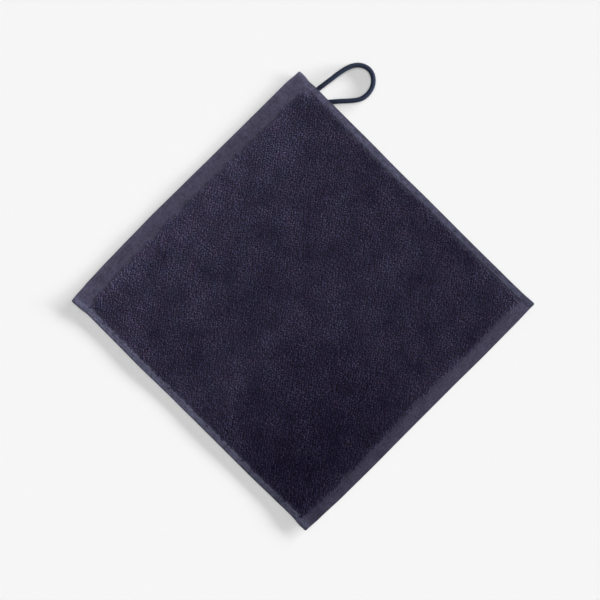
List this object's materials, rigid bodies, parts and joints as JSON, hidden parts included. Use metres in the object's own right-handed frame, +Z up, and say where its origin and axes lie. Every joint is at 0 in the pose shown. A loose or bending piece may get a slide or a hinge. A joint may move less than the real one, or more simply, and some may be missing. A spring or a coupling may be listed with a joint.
{
  "type": "barista cloth",
  "caption": "Small square terry bar cloth, lying flat and face up, with flat-woven ends, narrow stitched side hems and a round cord hanging loop near a corner.",
  "frame": {"origin": "on the surface that the cloth lies on, under the middle of the cloth", "axes": "+X from one flat-woven end to the other, +Y towards the side hem that holds the hanging loop, +Z up out of the upper face"},
  "size_m": [0.306, 0.3444, 0.006],
  "materials": {
    "terry": "matte cotton terry in dark navy, with plainer woven ends and hems a little lighter",
    "cord": "round braided cord in dark navy, with a slight sheen"
  },
  "bodies": {
    "root": {"cloth": "terry", "hanging_loop": "cord"}
  },
  "joints": []
}
